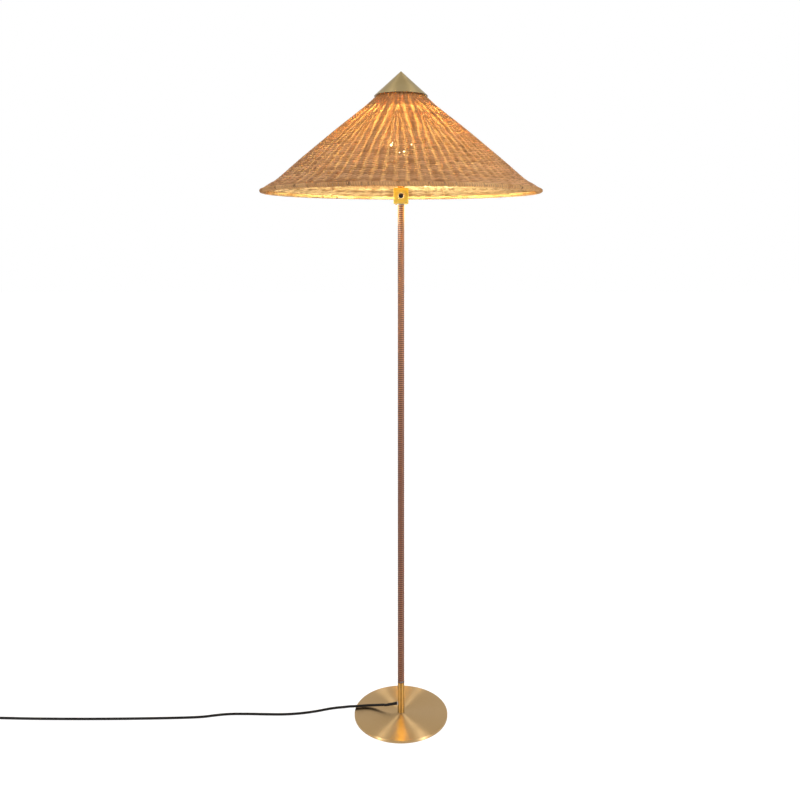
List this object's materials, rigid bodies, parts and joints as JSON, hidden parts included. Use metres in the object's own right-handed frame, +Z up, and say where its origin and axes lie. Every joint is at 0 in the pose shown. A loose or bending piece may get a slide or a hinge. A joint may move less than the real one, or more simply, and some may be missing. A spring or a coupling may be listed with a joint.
{
  "type": "rattan floor lamp",
  "caption": "Slender floor lamp with a wide cone of open wicker under a small brass cap, a cane-wrapped stem with a push switch, and a thin round brass foot.",
  "frame": {"origin": "centre of the foot's underside, on the floor", "axes": "+Z up along the stem; the push switch faces -Y; the mains lead leaves the foot along -X"},
  "size_m": [1.2528, 0.6, 1.389],
  "materials": {
    "satin_brass": "fine circular brushing, satin",
    "polished_brass": "polished",
    "steel": "plain zinc-plated steel",
    "felt": "felt",
    "cane": "smoked cane strip, wound",
    "wicker": "woven split rattan, smoked and unvarnished",
    "black_plastic": "moulded or extruded, satin",
    "grey_nylon": "moulded",
    "ceramic": "white glaze",
    "opal_glass": "opal, lit from inside",
    "live_brown": "insulated core",
    "neutral_blue": "insulated core"
  },
  "bodies": {
    "stand": {"base_pad": "felt", "base_weight": "steel", "base_cover": "satin_brass", "foot_screw": "steel", "foot_socket": "polished_brass", "stem_tube": "steel", "stem_wrap": "cane", "head_box": "polished_brass", "head_lid": "polished_brass", "lid_screw_1": "polished_brass", "lid_screw_2": "polished_brass", "stem_nut": "steel", "switch_body": "black_plastic", "switch_bezel": "polished_brass", "holder_nipple": "steel", "nipple_nut": "steel", "holder_spacer": "polished_brass", "harp_saddle": "polished_brass", "harp_ferrule_left": "polished_brass", "harp_ferrule_right": "polished_brass", "harp": "polished_brass", "harp_stud": "polished_brass", "holder_cup": "polished_brass", "holder_shell": "polished_brass", "holder_core": "ceramic", "holder_thread_sleeve": "steel", "holder_contact": "polished_brass", "lead_bushing": "grey_nylon", "lead_strain_relief": "black_plastic", "core_live": "live_brown", "core_neutral": "neutral_blue", "core_switched": "live_brown", "lead_cord": "black_plastic", "lead_coil": "black_plastic", "lead_tie": "black_plastic", "lead_tail": "black_plastic", "plug_strain_relief": "black_plastic", "plug_body": "black_plastic", "plug_pin_1": "steel", "plug_pin_2": "steel"},
    "button": {"switch_button": "black_plastic"},
    "bulb": {"bulb_tip": "steel", "bulb_insulator": "black_plastic", "bulb_screw_cap": "steel", "bulb_glass": "opal_glass"},
    "shade": {"shade_weave": "wicker", "shade_border": "wicker", "shade_rim_wire": "steel", "shade_top_wire": "steel", "shade_hub": "steel", "shade_arm_1": "steel", "shade_arm_2": "steel", "shade_arm_3": "steel"},
    "cap": {"cap_cone": "satin_brass", "cap_boss": "polished_brass"}
  },
  "joints": [
    {"name": "switch_press", "type": "slide", "parent": "stand", "child": "button", "axis": [0, 1, 0], "range_m": [0, 0.002], "stiffness_N_per_m": 800, "springref_m": -0.001},
    {"name": "bulb_unscrew", "type": "slide", "parent": "stand", "child": "bulb", "axis": [0, 0, 1], "range_m": [0, 0.026]},
    {"name": "shade_lift", "type": "slide", "parent": "stand", "child": "shade", "axis": [0, 0, 1], "range_m": [0, 0.06]},
    {"name": "cap_unscrew", "type": "slide", "parent": "shade", "child": "cap", "axis": [0, 0, 1], "range_m": [0, 0.03]}
  ]
}
